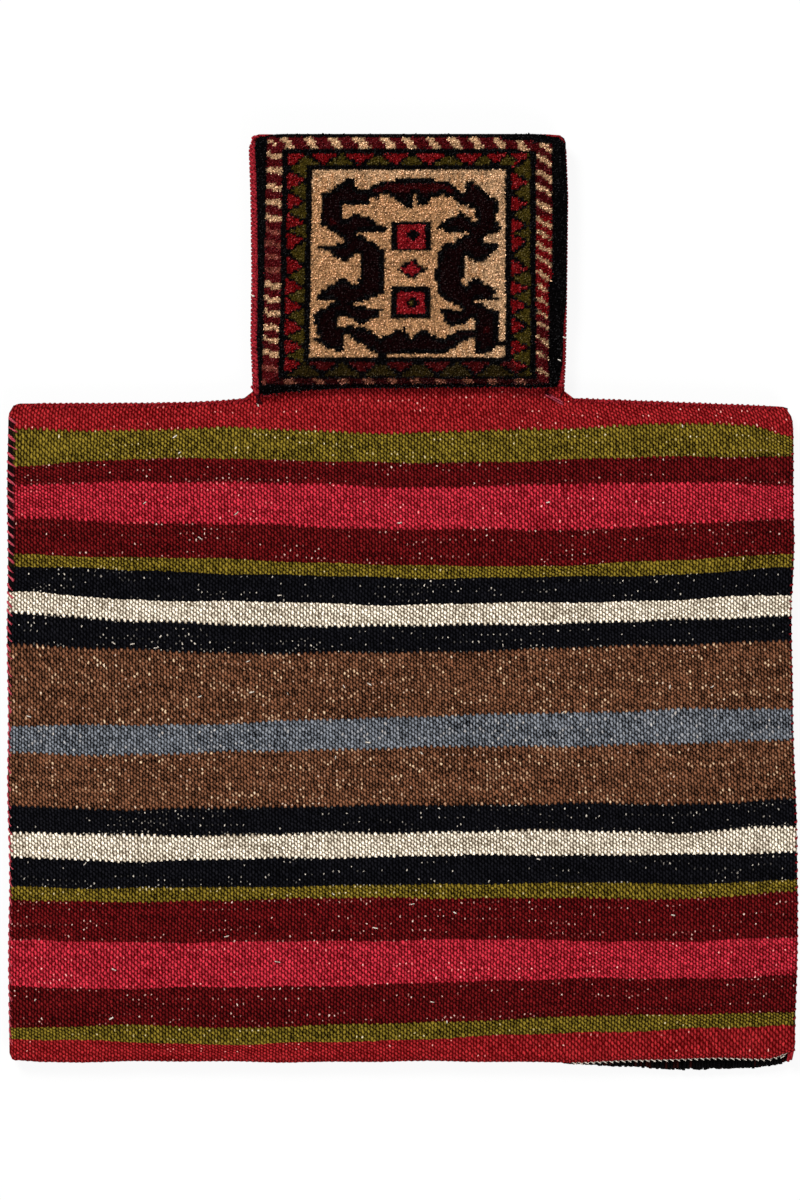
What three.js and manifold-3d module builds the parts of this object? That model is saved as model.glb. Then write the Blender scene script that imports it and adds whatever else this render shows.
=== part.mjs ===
// Pile salt bag, lying flat with its striped back upwards.
// One woven wool cloth is folded at the foot; its sides, shoulders and neck are closed by overcast yarn.
// Millimetres: +X to the right of the back, +Y towards the mouth, +Z up from the ground it lies on.
import * as THREE from 'three';
import { mergeVertices } from 'three/addons/utils/BufferGeometryUtils.js';
import Module from 'manifold-3d';

const wasm = await Module();
wasm.setup();

// Plan of the bag
const bodyWidth = 416;
const bodyHeight = 355;
const neckWidth = 166;
const neckHeight = 141;
const neckShift = 4;
const shoulderDrop = 4;
const cornerRadius = 6;
const neckFillet = 4;
const mouthRise = 1.5;

// Thickness of the cloth and the room inside
const clothThickness = 3;
const pileHeight = 6;
const pocketGap = 7;
const seamGap = 0.5;
const bodyLoft = 30;
const neckLoft = 14;

// Pile edges and the lip of front pile that shows below the fold
const pileMargin = 5.2;
const pileSlope = 1.6;
const pileRound = 1.8;
const neckPileFoot = 4;
const mouthHem = 1.2;
const pileLip = 4.5;
const lipStart = 80;

// Surface relief of the weave: bands step up and down, dark wool has worn lower than the rest
const bandStep = 0.4;
const bandSlope = 0.6;
const darkWear = 0.8;

// Yarn of the seams
const seamBite = 3.6;
const yarn = 1.6;
const clearance = 0.3;
const ridge = 0.45;
const sidePitch = 9.5;
const neckPitch = 7.5;
const slant = 0.55;
const tackLength = 11;
const tackWidth = 1.8;
const tackHeight = 1.2;

// Heights of the two walls and places of the plan, worked out from the sizes above
const wallFoot = pileHeight;
const pocketFloor = pileHeight + clothThickness;
const stackTop = pocketFloor + seamGap + clothThickness;
const stackMiddle = (wallFoot + stackTop) / 2;
const foldRadius = (stackTop - wallFoot) / 2;
const overallHeight = neckHeight + bodyHeight + pileLip;
const foldY = pileLip - overallHeight / 2;
const shoulderY = foldY + bodyHeight;
const mouthY = shoulderY + neckHeight;
const bodyHalf = bodyWidth / 2;
const neckLeft = neckShift - neckWidth / 2;
const neckRight = neckShift + neckWidth / 2;

// Bands of the back from the shoulder down: how far below the shoulder line each one ends,
// at the left quarter, in the middle and at the right quarter of the body
const bandEnds = [
  [17.5, 18, 14.5], [35.5, 35.5, 32], [47, 48, 46], [66.5, 70.5, 67], [86, 91.5, 87],
  [92.5, 97, 94.5], [109, 112, 109], [119, 122.5, 119], [135.5, 136.5, 132.5], [175.5, 172.5, 167.5],
  [191, 186, 184], [222, 217.5, 217.5], [235.5, 233.5, 234], [249.5, 246, 244.5], [262.5, 261, 260.5],
  [270, 268, 267.5], [290, 290.5, 291], [317.5, 315, 312.5], [336, 336, 331], [345.5, 346.5, 339],
];
const bandQuarter = 158;

function smoothstep(t) {
  const s = THREE.MathUtils.clamp(t, 0, 1);
  return s * s * (3 - 2 * s);
}

// Solids are joined and cut by their positions alone
function solid(geometry) {
  const bare = new THREE.BufferGeometry();
  bare.setAttribute('position', geometry.getAttribute('position').clone());
  bare.setIndex(geometry.getIndex());
  const merged = mergeVertices(bare, 1e-4);
  return new wasm.Manifold(new wasm.Mesh({
    numProp: 3,
    vertProperties: new Float32Array(merged.getAttribute('position').array),
    triVerts: new Uint32Array(merged.getIndex().array),
  }));
}

function fromSolid(body) {
  const mesh = body.getMesh();
  const geometry = new THREE.BufferGeometry();
  geometry.setAttribute('position', new THREE.BufferAttribute(mesh.vertProperties, 3));
  geometry.setIndex(new THREE.BufferAttribute(mesh.triVerts, 1));
  geometry.computeVertexNormals();
  return geometry;
}

// A slab over given columns and rows: row(j, x) is the line of row j, top and bottom give the heights
function heightSlab(columns, rowCount, row, top, bottom) {
  const geometry = new THREE.BoxGeometry(1, 1, 1, columns.length - 1, rowCount - 1, 1);
  const position = geometry.getAttribute('position');
  for (let i = 0; i < position.count; i += 1) {
    const x = columns[Math.round((position.getX(i) + 0.5) * (columns.length - 1))];
    const y = row(Math.round((position.getY(i) + 0.5) * (rowCount - 1)), x);
    position.setXYZ(i, x, y, position.getZ(i) > 0 ? top(x, y) : bottom(x, y));
  }
  return solid(geometry);
}

function extruded(shape, depth, base, options = {}) {
  const settings = { depth, bevelEnabled: false, curveSegments: 5, ...options };
  const geometry = new THREE.ExtrudeGeometry(shape, settings);
  geometry.translate(0, 0, base);
  return solid(geometry);
}

// Plan outline, with all closed edges moved inwards by inset and the foot drawn by its own function
function planOutline(inset, mouthInset, foot) {
  const left = -bodyHalf + inset;
  const right = bodyHalf - inset;
  const shoulderOuter = shoulderY - shoulderDrop - inset;
  const shoulderInner = shoulderY - inset;
  const neckL = neckLeft + inset;
  const neckR = neckRight - inset;
  const mouth = mouthY - mouthInset - mouthRise;
  const shape = new THREE.Shape();
  shape.moveTo(left, foldY + inset + cornerRadius);
  shape.lineTo(left, shoulderOuter - cornerRadius);
  shape.quadraticCurveTo(left, shoulderOuter, left + cornerRadius, shoulderOuter);
  shape.lineTo(neckL - neckFillet, shoulderInner);
  shape.quadraticCurveTo(neckL, shoulderInner, neckL, shoulderInner + neckFillet);
  shape.lineTo(neckL, mouth);
  shape.quadraticCurveTo((neckL + neckR) / 2, mouth + 2 * mouthRise, neckR, mouth);
  shape.lineTo(neckR, shoulderInner + neckFillet);
  shape.quadraticCurveTo(neckR, shoulderInner, neckR + neckFillet, shoulderInner);
  shape.lineTo(right - cornerRadius, shoulderOuter);
  shape.quadraticCurveTo(right, shoulderOuter, right, shoulderOuter - cornerRadius);
  shape.lineTo(right, foldY + inset + cornerRadius);
  foot(shape, left, right);
  return shape;
}

// Edges that are sewn or folded shut, with the reach over which the walls part beside each
const corner = (x, y) => new THREE.Vector2(x, y);
const closedEdges = [
  [corner(-bodyHalf, foldY), corner(bodyHalf, foldY), bodyLoft],
  [corner(-bodyHalf, foldY), corner(-bodyHalf, shoulderY - shoulderDrop), bodyLoft],
  [corner(bodyHalf, foldY), corner(bodyHalf, shoulderY - shoulderDrop), bodyLoft],
  [corner(-bodyHalf, shoulderY - shoulderDrop), corner(neckLeft, shoulderY), bodyLoft],
  [corner(bodyHalf, shoulderY - shoulderDrop), corner(neckRight, shoulderY), bodyLoft],
  [corner(neckLeft, shoulderY), corner(neckLeft, mouthY + neckHeight), neckLoft],
  [corner(neckRight, shoulderY), corner(neckRight, mouthY + neckHeight), neckLoft],
];

function distanceToEdge(point, from, to) {
  const nearest = new THREE.Line3(new THREE.Vector3(from.x, from.y, 0), new THREE.Vector3(to.x, to.y, 0))
    .closestPointToPoint(new THREE.Vector3(point.x, point.y, 0), true, new THREE.Vector3());
  return Math.hypot(point.x - nearest.x, point.y - nearest.y);
}

function isOutside(x, y) {
  const besideNeck = y > shoulderY - shoulderDrop && (x <= neckLeft || x >= neckRight);
  return besideNeck || Math.abs(x) >= bodyHalf || y <= foldY;
}

// Room between the two walls at a point of the plan
function gapAt(x, y) {
  if (isOutside(x, y)) return seamGap;
  const parting = closedEdges.map(
    ([from, to, reach]) => (distanceToEdge({ x, y }, from, to) - seamBite) / reach,
  );
  return seamGap + (pocketGap - seamGap) * smoothstep(Math.min(...parting));
}

// Line of one band's end: a parabola through its three measured places, level beyond the quarters
function bandLine(ends, x) {
  const [left, middle, right] = ends;
  const u = THREE.MathUtils.clamp(x / bandQuarter, -1.2, 1.2);
  return shoulderY - (middle + ((right - left) / 2) * u + ((left + right) / 2 - middle) * u * u);
}

function spread(from, to, count) {
  return Array.from({ length: count }, (_, i) => THREE.MathUtils.lerp(from, to, (i + 1) / (count + 1)));
}

// Columns of the cloth: close together where the edges curve down, wide apart in the middle
function clothColumns() {
  const edge = (reach) => [0, pileMargin, pileMargin + pileSlope, seamBite + reach / 2, seamBite + reach];
  const leftPart = edge(bodyLoft).map((d) => d - bodyHalf);
  const neckPart = edge(neckLoft).map((d) => d + neckLeft);
  const rightNeck = edge(neckLoft).map((d) => neckRight - d).reverse();
  const rightPart = edge(bodyLoft).map((d) => bodyHalf - d).reverse();
  return [
    ...leftPart, ...spread(leftPart.at(-1), neckPart[0], 3),
    ...neckPart, ...spread(neckPart.at(-1), rightNeck[0], 3),
    ...rightNeck, ...spread(rightNeck.at(-1), rightPart[0], 3), ...rightPart,
  ];
}

// Rows of the back from the fold up: the round of the fold, both sides of each band's end, then the neck
function clothRows() {
  const fold = [0, 1, 2, 3].map((k) => foldY + foldRadius * (1 - Math.cos((k * Math.PI) / 6)));
  const bands = bandEnds.toReversed().flatMap((ends) => [
    (x) => bandLine(ends, x) - bandSlope,
    (x) => bandLine(ends, x) + bandSlope,
  ]);
  const shoulder = [shoulderY - bodyLoft / 3, shoulderY - pileMargin, shoulderY];
  const pileFoot = shoulderY + neckPileFoot;
  const neck = [pileFoot, pileFoot + pileSlope, ...spread(pileFoot, mouthY, 4)];
  const hem = [mouthY - mouthRise - mouthHem - pileSlope, mouthY - mouthRise - mouthHem, mouthY];
  const fixed = (list) => list.map((y) => () => y);
  return [...fixed(fold), ...bands, ...fixed([...shoulder, ...neck, ...hem])];
}

function bandRelief(x, y) {
  if (y > shoulderY) return 0;
  const passed = bandEnds.filter((ends) => y < bandLine(ends, x)).length;
  return passed % 2 === 0 ? 0 : -bandStep;
}

function neckPile(x, y) {
  const fromEdge = Math.min(x - neckLeft, neckRight - x) - pileMargin;
  const fromFoot = y - (shoulderY + neckPileFoot);
  const fromMouth = mouthY - mouthRise - mouthHem - y;
  return pileHeight * THREE.MathUtils.clamp(Math.min(fromEdge, fromFoot, fromMouth) / pileSlope, 0, 1);
}

// Height of the fold's round: half a circle in side view
function foldRound(y) {
  const t = THREE.MathUtils.clamp((y - foldY) / foldRadius, 0, 1);
  return foldRadius * (1 - Math.sqrt(1 - (1 - t) ** 2));
}

function backTop(x, y) {
  return pocketFloor + gapAt(x, y) + clothThickness + bandRelief(x, y) + neckPile(x, y) - foldRound(y);
}

function frontFoot(x, y) {
  return wallFoot + foldRound(y);
}

// Straight fold between two rounded corners
function foldFoot(shape, left, right) {
  shape.quadraticCurveTo(right, foldY, right - cornerRadius, foldY);
  shape.lineTo(left + cornerRadius, foldY);
  shape.quadraticCurveTo(left, foldY, left, foldY + cornerRadius);
}

// The front's pile ends just inside the fold on the left and hangs out below it on the right
function pileFoot(shape, left, right) {
  const inside = foldY + foldRadius;
  const lip = foldY - pileLip;
  shape.quadraticCurveTo(right, lip, right - 2 * cornerRadius, lip + pileLip / 4);
  shape.quadraticCurveTo((lipStart + right) / 2, lip - pileLip / 4, lipStart, inside);
  shape.lineTo(left + cornerRadius, inside);
  shape.quadraticCurveTo(left, inside, left, inside + cornerRadius);
}

// Neck design on the knotted pile, drawn in millimetres from the middle of the cream field
const fieldX = 3.6;
const fieldY = 180;
const fieldWidth = 104;
const fieldHeight = 100;
const guard = 2.2;
const borderWidth = 11;
const outerGuardX = 15.5;

function rectangle(x, y, width, height) {
  const shape = new THREE.Shape();
  shape.moveTo(x - width / 2, y - height / 2);
  shape.lineTo(x + width / 2, y - height / 2);
  shape.lineTo(x + width / 2, y + height / 2);
  shape.lineTo(x - width / 2, y + height / 2);
  shape.closePath();
  return shape;
}

function frameLine(growX, growY, line) {
  const shape = rectangle(fieldX, fieldY, fieldWidth + 2 * (growX + line), fieldHeight + 2 * (growY + line));
  shape.holes.push(rectangle(fieldX, fieldY, fieldWidth + 2 * growX, fieldHeight + 2 * growY));
  return shape;
}

function polygon(points) {
  return new THREE.Shape(points.map(([x, y]) => new THREE.Vector2(fieldX + x, fieldY + y)));
}

// Upper and lower left quarters of the hooked figure; the right half is their mirror image
const upperHooks = [
  [0, 45], [-11, 45], [-18, 42], [-22.5, 38], [-26, 40.5], [-31, 45.5], [-36, 43.5], [-46.5, 37.5],
  [-47, 20.5], [-41, 17], [-34, 13.5], [-31.5, 11], [-48, 9], [-43, 6.5], [-35, 1], [-32.5, 5], [-26, 4.5],
  [-26, 0], [-12.5, 0], [-12.5, 7], [-19, 11], [-28, 16.5], [-10.5, 18.5], [-15, 22], [-21, 26],
  [-27, 28.5], [-34, 24], [-36, 32], [-21, 32], [-20, 36], [-12, 38.5], [-4, 33], [0, 31],
];
const lowerHooks = [
  [0, -47], [-11, -47.5], [-17, -46], [-29, -38.5], [-33.5, -37.5], [-34, -46.5], [-45, -44], [-49, -40.5],
  [-49.5, -27], [-41, -22.5], [-36, -19.5], [-49, -17], [-43, -11.5], [-36, -7.5], [-33.5, -6], [-26, -11],
  [-26, 0], [-12.5, 0], [-12, -15], [-20, -18], [-29.5, -21.5], [-12.5, -24.5], [-16, -30],
  [-24, -33], [-36, -28], [-36, -33.5], [-23, -34.5], [-14.5, -40], [-8, -35.5], [0, -35.5],
];
const mirrored = (points) => points.map(([x, y]) => [-x, y]).toReversed();

// Two framed squares and a small diamond stand between the hooks
function framedSquare(y) {
  const shape = rectangle(fieldX + 2, fieldY + y, 22, 17);
  shape.holes.push(rectangle(fieldX + 2, fieldY + y, 14.5, 12));
  return shape;
}

function diamond(x, y, halfWidth, halfHeight) {
  return polygon([[x - halfWidth, y], [x, y - halfHeight], [x + halfWidth, y], [x, y + halfHeight]]);
}

function darkWoolShapes() {
  const figure = [upperHooks, lowerHooks].flatMap((points) => [polygon(points), polygon(mirrored(points))]);
  const middle = [framedSquare(15), framedSquare(-20.5), diamond(2, 15, 4, 3.4), diamond(2, -20.5, 4, 3)];
  const frames = [
    frameLine(0, 0, guard),
    frameLine(guard + borderWidth, guard + borderWidth * 0.8, guard),
    frameLine(guard + borderWidth + outerGuardX - borderWidth / 3, guard + outerGuardX, guard),
  ];
  return [...figure, ...middle, diamond(2, -3, 8, 4.6), ...frames];
}

// The cloth: the outer form trimmed to the plan, with the front's pile, the hollow and the worn dark wool
function bagCloth() {
  const columns = clothColumns();
  const rows = clothRows();
  const line = (j, x) => rows[j](x);
  const high = stackTop + pocketGap + 2 * pileHeight;
  const trim = extruded(planOutline(0, 0, foldFoot), high, 0);
  const roundEdge = {
    bevelEnabled: true,
    bevelSize: pileRound,
    bevelOffset: -pileRound,
    bevelThickness: pileRound,
    bevelSegments: 1,
  };
  const pilePlan = planOutline(pileMargin, mouthHem, pileFoot);
  const frontPile = extruded(pilePlan, pocketFloor - seamGap - 2 * pileRound, pileRound, roundEdge);
  const outer = heightSlab(columns, rows.length, line, backTop, frontFoot).intersect(trim).add(frontPile);

  const reach = [-bodyHalf - 2 * yarn, ...columns.slice(1, -1), bodyHalf + 2 * yarn];
  const pocketRows = [
    foldY + clothThickness, ...[1 / 3, 2 / 3, 1].map((t) => foldY + seamBite + bodyLoft * t),
    ...spread(foldY + seamBite + bodyLoft, shoulderY - bodyLoft, 4),
    ...[1, 2 / 3, 1 / 3].map((t) => shoulderY - seamBite - bodyLoft * t),
    shoulderY - seamBite, shoulderY + seamBite, shoulderY + bodyLoft, mouthY, mouthY + neckFillet,
  ];
  const pocket = heightSlab(
    reach, pocketRows.length, (j) => pocketRows[j], (x, y) => pocketFloor + gapAt(x, y), () => pocketFloor,
  );

  const worn = heightSlab(columns, rows.length, line, (x, y) => backTop(x, y) - darkWear, frontFoot);
  const dark = darkWoolShapes().map((shape) => extruded(shape, pileHeight * 2, pocketFloor + pocketGap));
  const wear = dark.reduce((all, next) => all.add(next)).subtract(worn);
  return fromSolid(outer.subtract(pocket).subtract(wear));
}

// Section of an overcast seam: yarn gripping the stacked edges of both walls from outside
function gripSection() {
  const inner = foldRadius + clearance;
  const shape = new THREE.Shape();
  shape.moveTo(-seamBite, inner);
  shape.lineTo(clearance, inner);
  shape.lineTo(clearance, -inner);
  shape.lineTo(-seamBite, -inner);
  shape.lineTo(-seamBite + ridge, -inner - yarn / 2);
  shape.lineTo(-seamBite / 3, -inner - yarn + ridge);
  shape.lineTo(clearance + yarn - ridge, -foldRadius);
  shape.lineTo(clearance + yarn - ridge, foldRadius);
  shape.lineTo(-seamBite / 3, inner + yarn - ridge);
  shape.lineTo(-seamBite + ridge, inner + yarn / 2);
  return shape;
}

// Turns of yarn from one point of the plan to another, each slanting back as it crosses the edge
function overcastSeam(name, from, to, pitch, material) {
  const along = new THREE.Vector3().subVectors(to, from);
  const turns = Math.max(2, Math.round(along.length() / pitch));
  const geometry = new THREE.ExtrudeGeometry(gripSection(), {
    depth: along.length(), steps: 2 * turns, bevelEnabled: false,
  });
  const position = geometry.getAttribute('position');
  const step = along.length() / (2 * turns);
  for (let i = 0; i < position.count; i += 1) {
    const [n, h, s] = [position.getX(i), position.getY(i), position.getZ(i)];
    const outside = n > clearance + 0.01 || Math.abs(h) > foldRadius + clearance + yarn / 2 + 0.01;
    const crest = outside && Math.round(s / step) % 2 === 1 ? ridge : 0;
    const inRow = s > step / 2 && s < along.length() - step / 2;
    const push = Math.abs(h) > foldRadius + clearance ? [0, Math.sign(h) * crest] : [crest, 0];
    position.setXYZ(i, n + push[0], h + push[1], inRow ? s + slant * h * Math.min(1, step / yarn / 2) : s);
  }
  geometry.computeVertexNormals();
  const mesh = new THREE.Mesh(geometry, material);
  const direction = along.normalize();
  const up = new THREE.Vector3(0, 0, 1);
  const outward = new THREE.Vector3().crossVectors(up, direction);
  mesh.applyMatrix4(new THREE.Matrix4().makeBasis(outward, up, direction));
  mesh.position.copy(from);
  mesh.name = name;
  return mesh;
}

// Two short strands crossing on the back where the neck's side runs into the shoulder
function neckTack(name, neckEdge, material) {
  const toBody = neckEdge < neckShift ? 1 : -1;
  const reach = seamBite + clearance;
  const strand = (turn) => {
    const bar = new THREE.BoxGeometry(tackLength, tackWidth, tackHeight, 5, 1, 1);
    bar.rotateZ(-toBody * turn);
    bar.translate(neckEdge + toBody * reach, shoulderY - reach, tackHeight / 2 + 2 * clearance);
    const position = bar.getAttribute('position');
    for (let i = 0; i < position.count; i += 1) {
      position.setZ(i, position.getZ(i) + backTop(position.getX(i), position.getY(i)));
    }
    return solid(bar);
  };
  const mesh = new THREE.Mesh(fromSolid(strand(Math.PI / 3).add(strand(Math.PI / 6))), material);
  mesh.name = name;
  return mesh;
}

const wool = (color) => new THREE.MeshStandardMaterial({ color, roughness: 0.95, metalness: 0 });
const at = (x, y) => new THREE.Vector3(x, y, stackMiddle);

const bag = new THREE.Group();
const cloth = new THREE.Mesh(bagCloth(), wool(0x5a2a22));
cloth.name = 'bag_cloth';
bag.add(cloth);

const seamEnd = cornerRadius + 2;
const sideTop = shoulderY - shoulderDrop - seamEnd;
const sideFoot = foldY + seamEnd;
const leftSide = [at(-bodyHalf, sideFoot), at(-bodyHalf, sideTop)];
const rightSide = [at(bodyHalf, sideTop), at(bodyHalf, sideFoot)];
bag.add(overcastSeam('left_side_seam', ...leftSide, sidePitch, wool(0xa03442)));
bag.add(overcastSeam('right_side_seam', ...rightSide, sidePitch, wool(0x8e1f2a)));

// Each shoulder's straight stretch runs from its outer corner in to the fillet beside the neck
function shoulderSeam(name, outerX, innerX, material) {
  const outer = at(outerX, shoulderY - shoulderDrop);
  const inner = at(innerX, shoulderY);
  const trim = seamEnd / outer.distanceTo(inner);
  const ends = [outer.clone().lerp(inner, trim), inner.clone().lerp(outer, trim)];
  const [from, to] = outerX < innerX ? ends : ends.toReversed();
  return overcastSeam(name, from, to, sidePitch, material);
}
const shoulderEnd = bodyHalf - cornerRadius;
bag.add(shoulderSeam('left_shoulder_seam', -shoulderEnd, neckLeft - neckFillet, wool(0x7d1820)));
bag.add(shoulderSeam('right_shoulder_seam', shoulderEnd, neckRight + neckFillet, wool(0x7d1820)));

const edgingFoot = shoulderY + seamEnd;
const edgingTop = mouthY - mouthRise;
const leftNeck = [at(neckLeft, edgingFoot), at(neckLeft, edgingTop)];
const rightNeck = [at(neckRight, edgingTop), at(neckRight, edgingFoot)];
bag.add(overcastSeam('left_neck_edging', ...leftNeck, neckPitch, wool(0x94484b)));
bag.add(overcastSeam('right_neck_edging', ...rightNeck, neckPitch, wool(0x7a1a22)));

bag.add(neckTack('left_neck_tack', neckLeft, wool(0x2a1416)));
bag.add(neckTack('right_neck_tack', neckRight, wool(0xb8505e)));

export default bag;
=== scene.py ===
import math

import bmesh
import bpy
import numpy as np
from mathutils import Matrix, Vector


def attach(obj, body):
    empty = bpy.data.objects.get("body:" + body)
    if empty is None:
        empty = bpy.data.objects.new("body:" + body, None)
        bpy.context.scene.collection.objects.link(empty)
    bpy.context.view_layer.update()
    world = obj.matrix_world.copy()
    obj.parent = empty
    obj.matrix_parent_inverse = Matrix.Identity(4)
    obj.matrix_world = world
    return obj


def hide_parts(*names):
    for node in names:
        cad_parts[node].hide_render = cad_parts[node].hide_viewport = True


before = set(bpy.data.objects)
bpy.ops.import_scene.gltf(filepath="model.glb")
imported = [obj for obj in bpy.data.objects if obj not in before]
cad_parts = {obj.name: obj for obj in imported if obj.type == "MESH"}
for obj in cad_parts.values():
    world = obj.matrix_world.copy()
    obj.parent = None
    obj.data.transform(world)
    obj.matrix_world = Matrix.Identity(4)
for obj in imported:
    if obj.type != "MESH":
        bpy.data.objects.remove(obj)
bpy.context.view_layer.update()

# Pile salt bag lying flat with its striped back upwards, seen from straight above.
# The cloth is worked out in millimetres in the part's own frame and stored in metres.
MM = 0.001
chance = np.random.default_rng(41)

# Height of the camera, the level at which the picture shows true lengths, and the height of its frame
EYE, TRUE_LEVEL, FRAME_HIGH = 2200.0, 12.5, 642.0

# Sizes of the bag, as in the part's source
BODY_HALF = 208.0
CLOTH_LEFT, CLOTH_RIGHT = -209.6, 210.0
FOLD_Y = -245.75
SHOULDER_Y = 109.25
MOUTH_Y = 250.25
NECK_LEFT, NECK_RIGHT = -79.0, 87.0
SHOULDER_DROP = 4.0
SHOULDER_CURVE = 20.0
CORNER = 5.0
CLOTH = 3.0
PILE = 6.0
SEAM_GAP, POCKET_GAP = 0.5, 7.0
BODY_LOFT, NECK_LOFT = 30.0, 14.0
SEAM_BITE = 3.6
FOLD_RADIUS = CLOTH + SEAM_GAP / 2
INSIDE_FLOOR = PILE + CLOTH
STACK_MIDDLE = PILE + FOLD_RADIUS

# Weave of the back: distance between warps and between weft rows
WARP = 1.625
WEFT = 1.235
BEAD = 0.2

# Bands of the back from the shoulder down: how far below the shoulder line each one ends,
# at seven places from the left edge to the right one
BAND_PLACES = (-200, -150, -90, 0, 90, 150, 200)
BAND_ENDS = [
    (16, 17, 15.5, 19, 15.5, 13, 14.3), (37, 34, 33, 36, 34, 32, 32), (47, 45, 44.5, 48, 46, 44.5, 47),
    (64, 66.5, 67.5, 70, 70.5, 67.5, 64.5), (84, 86, 86.5, 90.5, 90.5, 87, 83.5),
    (90.5, 92.5, 94.5, 97, 96.5, 95, 91.5), (104.5, 108.5, 109.5, 111.5, 110, 109, 106),
    (114.5, 118.5, 121.5, 122, 120.5, 119, 116.5), (131.5, 134.5, 136.5, 136.5, 134, 132, 130),
    (176, 175, 174.5, 170.5, 168.5, 166, 167), (190.5, 191, 189.5, 187, 186, 185, 182.5),
    (219, 222, 220, 219, 218, 218.5, 216), (234, 235, 235, 233.5, 232.5, 234, 230.5),
    (246.5, 248, 247, 245, 244.5, 244.5, 243.5), (262, 262.5, 262, 261, 259, 260.5, 258.5),
    (269, 270.5, 268.5, 267.5, 268, 268, 265), (291, 291, 291.5, 290, 290.5, 291.5, 289.5),
    (315.5, 316.5, 315.5, 314, 310.5, 311.5, 309.5), (338.5, 336.5, 338, 335.5, 332, 330.5, 330.5),
    (344.5, 345.5, 347.5, 344.5, 340.5, 338, 336.5),
]
BAND_WOOLS = (
    "red green maroon pink maroon green navy white navy brown blue brown navy white navy "
    "green maroon pink maroon green red"
).split()

# Each dye of the flat weave as screen colours: in painted shade in the pits between the beads,
# in painted light on the beads, and how mottled it is
WEFT_DYES = {
    "red": ((76, 0, 0), (154, 33, 37), 0.2),
    "green": ((4, 0, 0), (120, 101, 31), 0.4),
    "maroon": ((24, 0, 0), (98, 14, 17), 0.2),
    "pink": ((76, 0, 0), (184, 42, 57), 0.3),
    "navy": ((0, 0, 1), (14, 14, 19), 0.2),
    "white": ((88, 72, 50), (242, 228, 206), 0.25),
    "brown": ((4, 0, 0), (117, 75, 52), 0.6),
    "blue": ((4, 5, 8), (116, 120, 127), 0.5),
}
# Colour of bare warps, also mixed a little into the painted highlight on the beads
BARE_WARP_AND_HIGHLIGHT = (238, 226, 208)
UNDYED = (232, 204, 166)
EDGE_SHADE = (10, 6, 7)

# Runs of bare warp on the upper red band: from where to where, and at which level
BARE_RUNS = [(52, 78, 110.5), (92, 108, 98.7), (10, 30, 111)]

# Columns and rows of the plainer nets: the back's inner face, the neck's wall and the front
INNER_COLUMNS, INNER_ROWS = 48, 44
BED_COLUMNS, BED_ROWS = 194, 160
FRONT_COLUMNS, FRONT_ROWS = 150, 178
FRONT_TOP = MOUTH_Y - 0.6

# Tufts of the front that show: steps along its edges, and along the lip with the lip's depth below the fold
EDGE_STEP, EDGE_TIERS = 1.3, 3
LIP_START, LIP_END, LIP_STEP, LIP_TIERS = 80, 208, 1.5, 4
LIP_PLACES = (78, 90, 120, 150, 188, 201, 205, 208)
LIP_DEPTHS = (0, 2.8, 4.4, 6.0, 5.2, 3.6, 2.6, 1.0)


def screen(red, green, blue):
    """A screen colour as the linear one that Blender works with"""
    part = np.array([red, green, blue]) / 255
    return tuple(np.where(part <= 0.04045, part / 12.92, ((part + 0.055) / 1.055) ** 2.4)) + (1.0,)


def smoothstep(t):
    t = np.clip(t, 0, 1)
    return t * t * (3 - 2 * t)


def as_seen(height):
    """How much larger the camera sees what lies at this height"""
    return (EYE - TRUE_LEVEL) / (EYE - height)


class Tone:
    """A socket in a material, so that shader maths reads as plain expressions"""

    def __init__(self, tree, socket=None):
        self.tree, self.socket = tree, socket

    def add(self, kind, settings, sockets, output=0):
        made = self.tree.nodes.new(kind)
        for name, value in settings.items():
            if name == "stops":
                made.color_ramp.interpolation = "CONSTANT"
                while len(made.color_ramp.elements) < len(value):
                    made.color_ramp.elements.new(1.0)
                for stop, (place, colour) in zip(made.color_ramp.elements, value):
                    stop.position, stop.color = place, colour
            else:
                setattr(made, name, value)
        for name, value in sockets.items():
            if isinstance(value, Tone):
                self.tree.links.new(value.socket, made.inputs[name])
            else:
                made.inputs[name].default_value = value
        return Tone(self.tree, made.outputs[output])

    def out(self, output):
        return Tone(self.tree, self.socket.node.outputs[output])

    def maths(self, operation, *values):
        return self.add("ShaderNodeMath", {"operation": operation}, dict(enumerate(values)))

    def __add__(self, other):
        return self.maths("ADD", self, other)

    def __sub__(self, other):
        return self.maths("SUBTRACT", self, other)

    def __rsub__(self, other):
        return self.maths("SUBTRACT", other, self)

    def __mul__(self, other):
        return self.maths("MULTIPLY", self, other)

    def __gt__(self, other):
        return self.maths("GREATER_THAN", self, other)

    def __lt__(self, other):
        return self.maths("LESS_THAN", self, other)

    __radd__, __rmul__ = __add__, __mul__

    def round(self):
        return self.maths("ROUND", self)

    def clamp(self):
        return self.maths("MINIMUM", self.maths("MAXIMUM", self, 0.0), 1.0)

    def between(self, low, high):
        sockets = {"Value": self, "From Min": low, "From Max": high}
        return self.add("ShaderNodeMapRange", {"interpolation_type": "SMOOTHSTEP"}, sockets)

    def mix(self, first, second):
        return self.add("ShaderNodeMix", {"data_type": "RGBA"}, {0: self, 6: first, 7: second}, 2)

    def tint(self, colour):
        return self.add("ShaderNodeVectorMath", {"operation": "SCALE"}, {0: colour, 3: self})

    def place(self):
        return self.add("ShaderNodeTexCoord", {}, {}, 3)

    def noise(self, scale, detail=2.0, place=None):
        sockets = {"Vector": place or self.place(), "Scale": scale, "Detail": detail}
        return self.add("ShaderNodeTexNoise", {}, sockets)

    def bump(self, height, strength, distance):
        sockets = {"Height": height, "Strength": strength, "Distance": distance}
        return self.add("ShaderNodeBump", {}, sockets)


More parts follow.
